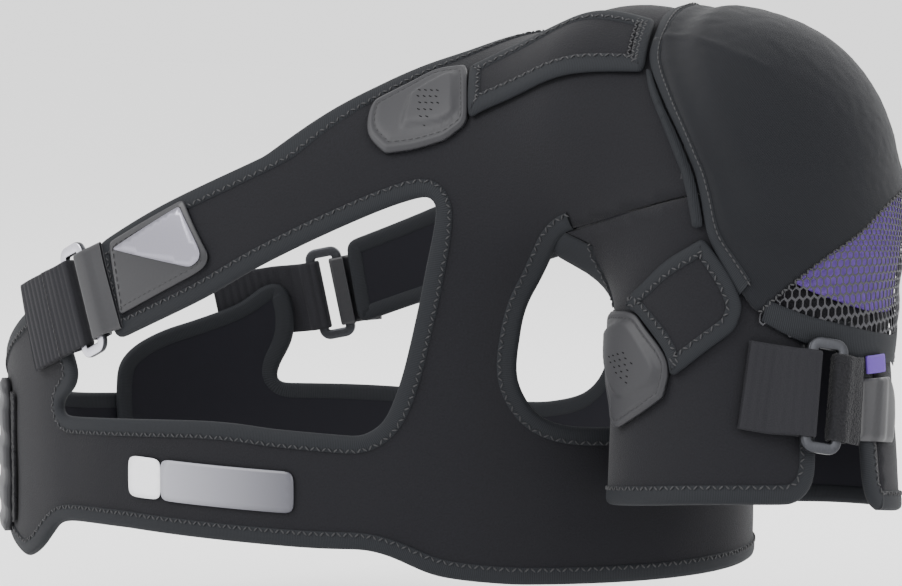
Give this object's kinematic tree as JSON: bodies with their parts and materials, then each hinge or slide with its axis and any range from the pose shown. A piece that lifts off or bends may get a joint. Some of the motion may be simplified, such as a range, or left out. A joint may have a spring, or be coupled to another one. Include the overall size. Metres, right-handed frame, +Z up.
{
  "type": "shoulder brace, worn form",
  "caption": "Neoprene shoulder brace in its worn form, with chest band, arm sleeve, padded shoulder cap, loop buckles and straps.",
  "frame": {"origin": "top of the wearer's braced shoulder, where the shell sits on it", "axes": "+X along the shoulders towards the braced arm, +Y from the near side to the far side, +Z up"},
  "size_m": [0.4797, 0.2427, 0.2595],
  "materials": {
    "neoprene": "laminated with brushed fabric, matt",
    "lining": "smooth knitted lining, matt",
    "patch_rubber": "moulded, matt with a fine grain",
    "strap_rubber": "smooth moulded, satin",
    "webbing": "woven herringbone webbing",
    "loop_steel": "satin silver",
    "dark_steel": "dark satin",
    "cap_cloth": "fine stretch fabric, softly wrinkled",
    "net": "open hexagonal net",
    "foam": "closed cell foam, violet",
    "tag_cloth": "woven ribbon",
    "label_print": "smooth heat pressed film",
    "label_white": "smooth heat pressed film",
    "plate": "brushed, satin",
    "hook_loop": "hook and loop pile"
  },
  "bodies": {
    "root": {"near_panel": "neoprene", "far_panel": "neoprene", "outer_panel": "neoprene", "arm_sleeve": "neoprene", "strap_overlay": "neoprene", "emblem_patch_a": "patch_rubber", "emblem_patch_b": "patch_rubber", "arm_tension_strap": "neoprene", "strap_end_patch": "strap_rubber", "strap_end_plate": "plate", "label_square": "label_white", "label": "label_print", "impact_pad": "foam", "shoulder_cap": "cap_cloth", "cap_net": "net", "cap_welt": "neoprene", "cap_tag": "tag_cloth", "closure_tab": "patch_rubber", "closure_hook": "hook_loop", "near_loop": "loop_steel", "near_webbing": "webbing", "near_strap_fold": "strap_rubber", "far_loop": "dark_steel", "far_webbing": "webbing", "far_strap_fold": "strap_rubber", "arm_loop": "dark_steel", "arm_webbing": "webbing", "arm_band": "hook_loop", "arm_band_end": "strap_rubber"}
  },
  "joints": []
}
